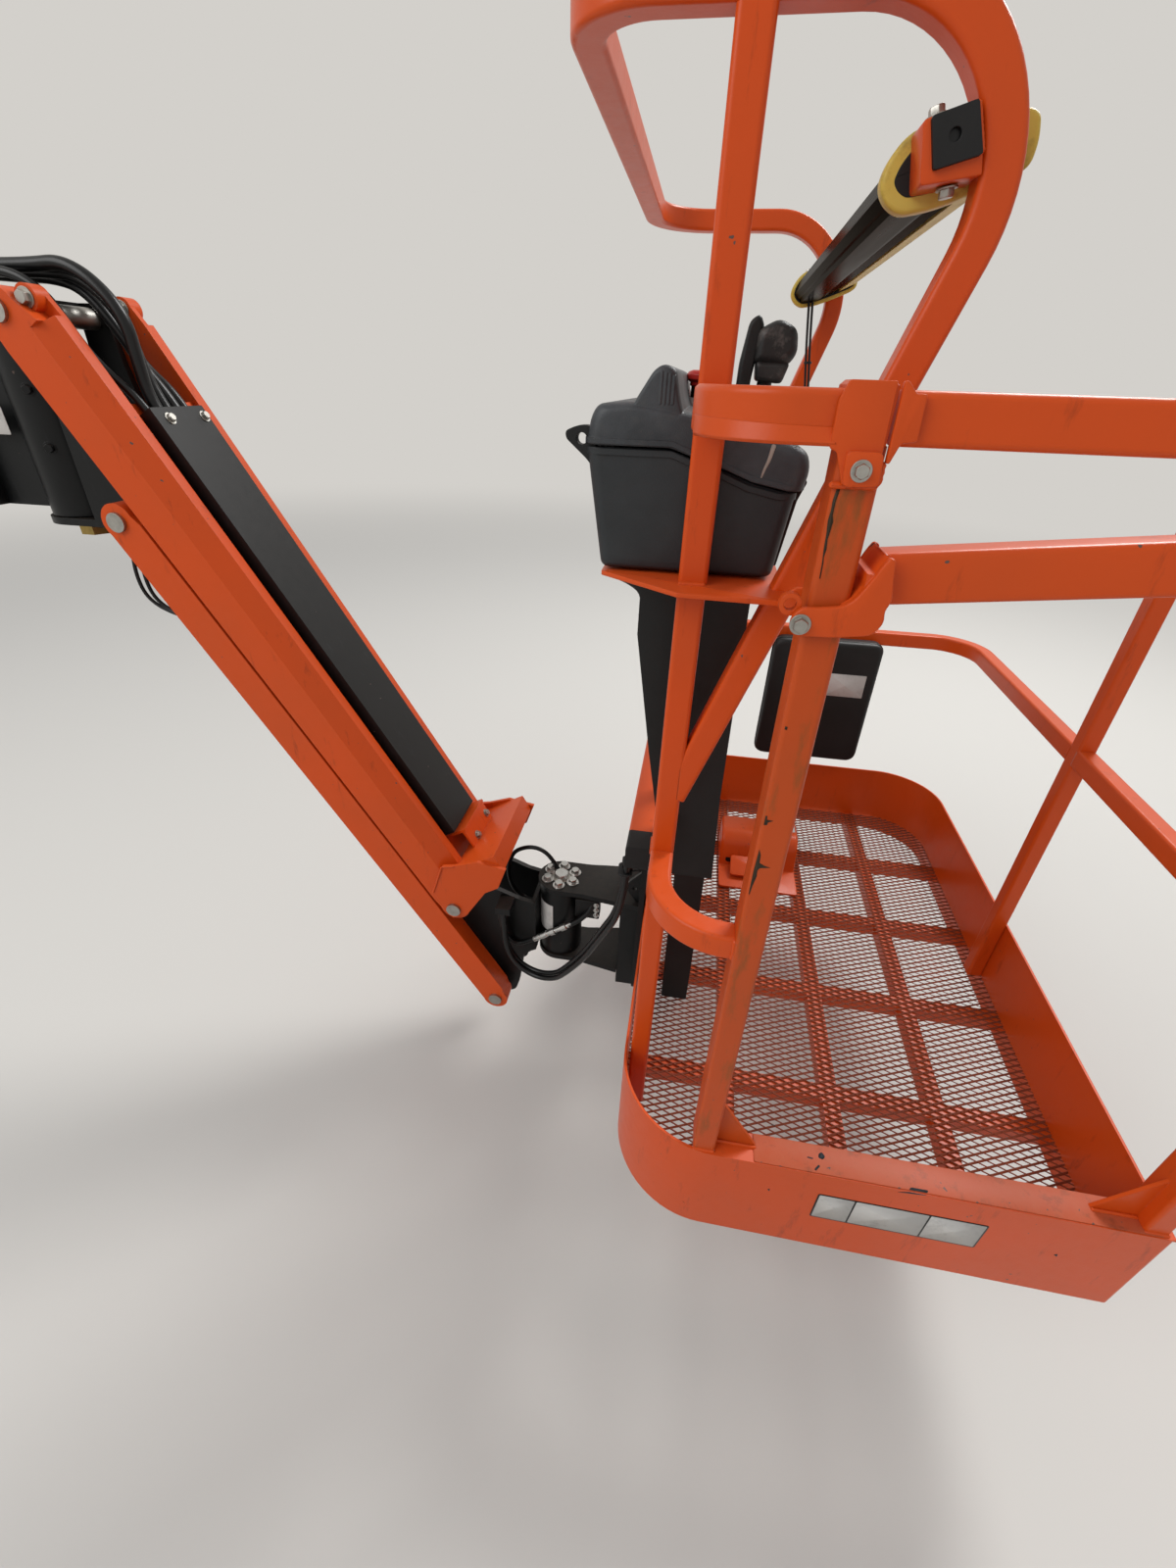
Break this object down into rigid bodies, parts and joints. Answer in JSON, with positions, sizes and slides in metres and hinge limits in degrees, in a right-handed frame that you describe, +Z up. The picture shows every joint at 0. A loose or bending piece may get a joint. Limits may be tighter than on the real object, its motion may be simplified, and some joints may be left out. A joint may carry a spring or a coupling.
{
  "type": "work platform and jib of an articulating boom lift",
  "caption": "Orange steel work platform with console, sliding gate bar and parallel jib, on the black head that pins to a boom's end",
  "frame": {"origin": "centre of the boom pin's bore", "axes": "+X out to the platform, +Y across the jib, along the pins, +Z up"},
  "size_m": [2.2216, 1.215, 1.5962],
  "materials": {
    "orange_paint": "gloss",
    "black_paint": "satin",
    "plated_steel": "satin",
    "chromed_rod": "polished",
    "grey_plastic": "textured",
    "bar_aluminium": "satin",
    "yellow_plastic": "satin",
    "red_plastic": "satin",
    "black_rubber": "matte"
  },
  "bodies": {
    "boom_end": {"boom_end_bracket": "black_paint", "swing_housing": "black_paint", "hose_bulkhead": "black_paint", "boom_hoses": "black_rubber"},
    "jib_base": {"jib_base_yoke": "black_paint", "swing_shaft": "plated_steel", "swing_shaft_nut": "plated_steel", "jib_upper_pin": "plated_steel", "link_upper_pin": "plated_steel", "jib_hoses": "black_rubber", "loop_cables": "black_rubber"},
    "jib": {"near_arm": "orange_paint", "far_arm": "orange_paint", "arm_cross_plate": "orange_paint", "hose_cover": "black_paint", "jib_end_bracket": "orange_paint", "jib_lower_pins": "plated_steel"},
    "lower_link": {"near_link": "orange_paint", "far_link": "orange_paint", "link_lower_pin": "plated_steel"},
    "lift_barrel": {"lift_barrel": "black_paint"},
    "lift_rod": {"lift_rod": "chromed_rod"},
    "level_head": {"level_head": "black_paint", "rotator_housing": "black_paint", "platform_hoses": "black_rubber", "rotator_hose": "black_rubber"},
    "platform": {"rotator_top_arm": "black_paint", "rotator_bottom_arm": "black_paint", "rotator_shaft": "plated_steel", "rotator_bolts": "plated_steel", "support_plate": "black_paint", "support_tube": "orange_paint", "tube_caps": "black_rubber", "kick_board": "orange_paint", "floor_frame": "orange_paint", "floor_mesh": "orange_paint", "corner_post": "orange_paint", "far_corner_post": "orange_paint", "console_side_post": "orange_paint", "gate_post_left": "orange_paint", "gate_post_right": "orange_paint", "gate_post_sleeve": "orange_paint", "right_post": "orange_paint", "mid_rail_corner": "orange_paint", "mid_rail": "orange_paint", "top_rail": "orange_paint", "top_rail_left": "orange_paint", "console_hoop": "orange_paint", "console_shelf": "orange_paint", "console_pedestal": "grey_plastic", "console_box": "grey_plastic", "console_lid": "grey_plastic", "joystick": "black_rubber", "stop_button": "red_plastic", "sensor_bar": "bar_aluminium", "sensor_caps": "yellow_plastic", "sensor_brackets": "orange_paint", "manual_box": "grey_plastic", "foot_switch": "orange_paint"},
    "gate_bar": {"gate_bar": "orange_paint"}
  },
  "joints": [
    {"name": "jib_swing", "type": "hinge", "parent": "boom_end", "child": "jib_base", "pos_m": [0.275, 0, 0], "axis": [0, 0, 1], "range_deg": [-90, 90], "deforming": ["boom_hoses"]},
    {"name": "jib_lift", "type": "hinge", "parent": "jib_base", "child": "jib", "pos_m": [0.364, 0, 0], "axis": [0, -1, 0], "range_deg": [0, 144], "deforming": ["jib_hoses"]},
    {"name": "link_turn", "type": "hinge", "parent": "jib_base", "child": "lower_link", "pos_m": [0.443, 0, -0.292], "axis": [0, -1, 0], "range_deg": [0, 144]},
    {"name": "barrel_turn", "type": "hinge", "parent": "jib_base", "child": "lift_barrel", "pos_m": [0.443, 0, -0.292], "axis": [0, -1, 0], "range_deg": [0, 143.61], "deforming": ["loop_cables"]},
    {"name": "rod_slide", "type": "slide", "parent": "lift_barrel", "child": "lift_rod", "axis": [0.5615, 0, -0.8275], "range_m": [0, 0.57533]},
    {"name": "head_level", "type": "hinge", "parent": "jib", "child": "level_head", "pos_m": [0.97649, 0, -1.07817], "axis": [0, -1, 0], "range_deg": [-144, 0]},
    {"name": "platform_turn", "type": "hinge", "parent": "level_head", "child": "platform", "pos_m": [1.197, 0, -1.155], "axis": [0, 0, 1], "range_deg": [-90, 90], "deforming": ["platform_hoses", "rotator_hose"]},
    {"name": "gate_slide", "type": "slide", "parent": "platform", "child": "gate_bar", "axis": [0, 0, 1], "range_m": [-0.352, 0.004]}
  ],
  "couplings": [
    {"joint": "link_turn", "follows": "jib_lift", "ratio": 1},
    {"joint": "barrel_turn", "follows": "jib_lift", "ratio": 0.99732},
    {"joint": "rod_slide", "follows": "jib_lift", "m_per_rad": 0.22892},
    {"joint": "head_level", "follows": "jib_lift", "ratio": -1}
  ]
}
